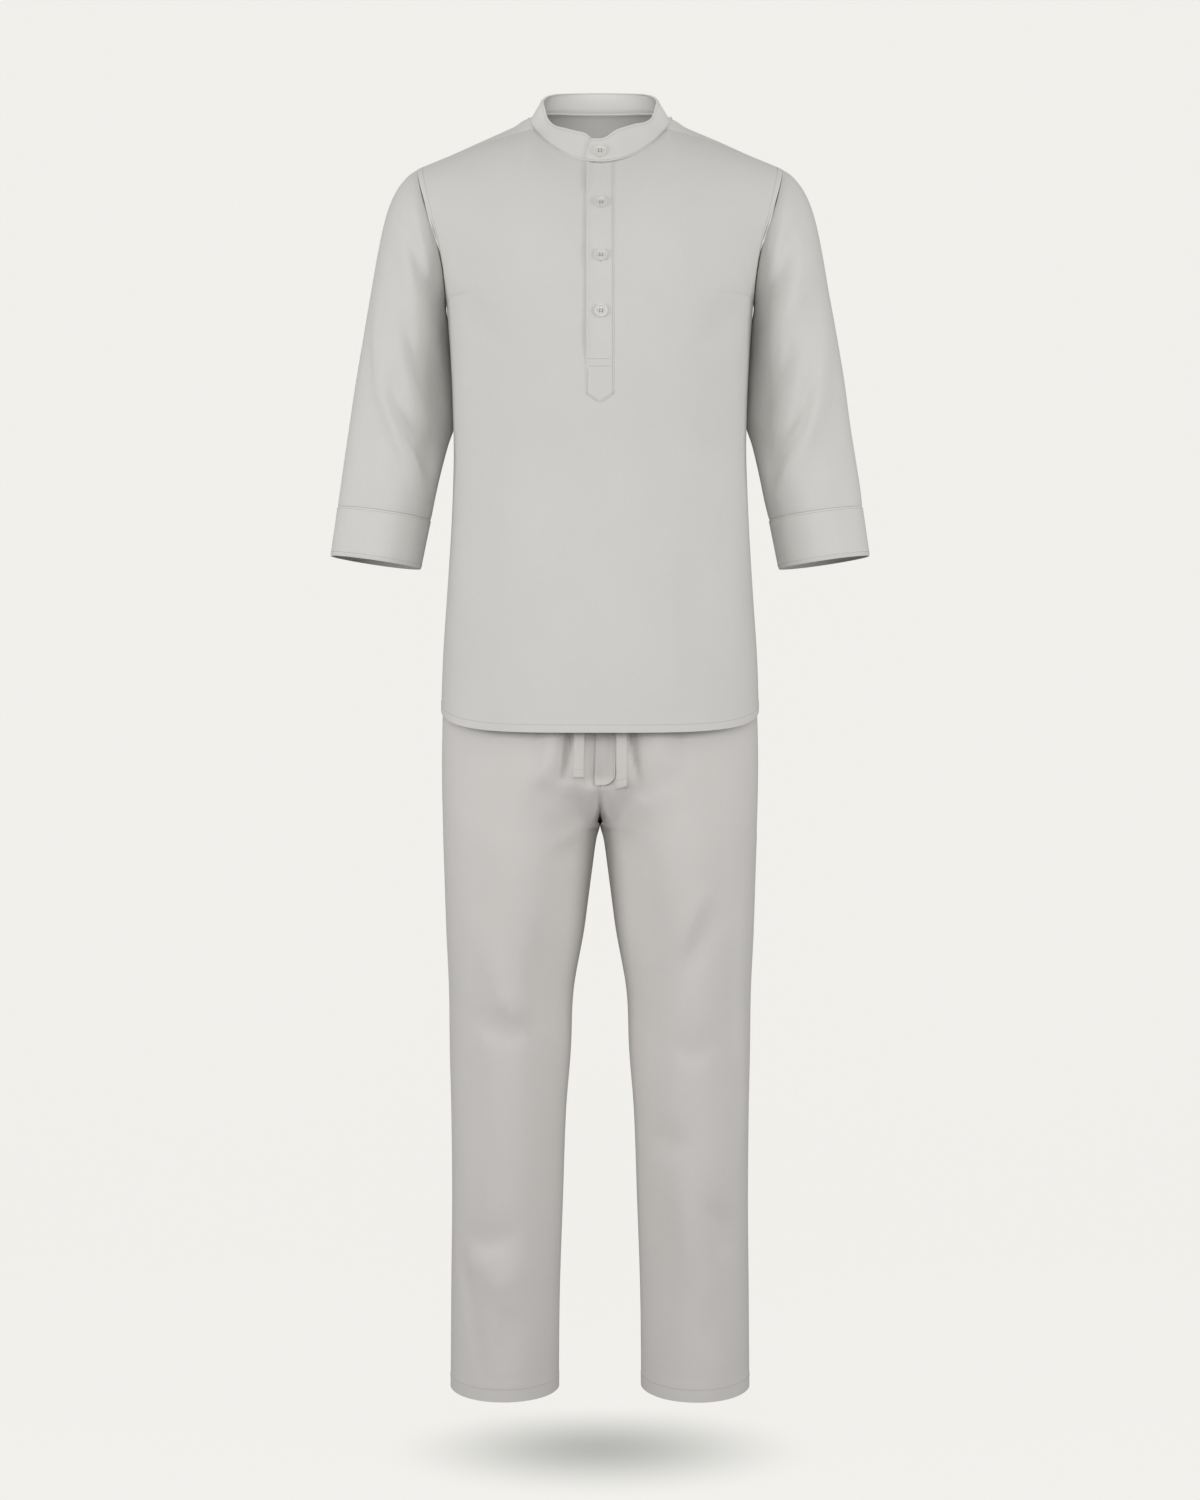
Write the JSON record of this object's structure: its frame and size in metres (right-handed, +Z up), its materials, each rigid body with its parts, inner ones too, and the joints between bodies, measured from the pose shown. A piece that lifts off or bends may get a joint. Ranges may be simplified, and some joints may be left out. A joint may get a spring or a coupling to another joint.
{
  "type": "kurta pajama set",
  "caption": "Men's short kurta with band collar, half placket and three-quarter cuffed sleeves over straight drawstring trousers, filled out as worn with nobody inside.",
  "frame": {"origin": "on the wearer's centre line, level with and between the two points where the collar meets the shoulders", "axes": "+Z up, +X towards the wearer's left, the front of the clothes faces -Y"},
  "size_m": [0.6452, 0.2739, 1.569],
  "materials": {
    "kurta_cloth": "plain fine cotton weave, pale warm grey, matt",
    "trouser_cloth": "plain fine cotton weave, warm grey, matt",
    "button_resin": "cast resin shirt button, soft satin"
  },
  "bodies": {
    "root": {"kurta_front": "kurta_cloth", "kurta_back": "kurta_cloth", "collar": "kurta_cloth", "placket": "kurta_cloth", "sleeve_left": "kurta_cloth", "sleeve_right": "kurta_cloth", "cuff_left": "kurta_cloth", "cuff_right": "kurta_cloth", "button_1": "button_resin", "button_2": "button_resin", "button_3": "button_resin", "button_4": "button_resin", "trouser_front_left": "trouser_cloth", "trouser_front_right": "trouser_cloth", "trouser_back_left": "trouser_cloth", "trouser_back_right": "trouser_cloth", "waistband": "trouser_cloth", "fly_flap": "trouser_cloth", "drawstring_left": "trouser_cloth", "drawstring_right": "trouser_cloth"}
  },
  "joints": []
}
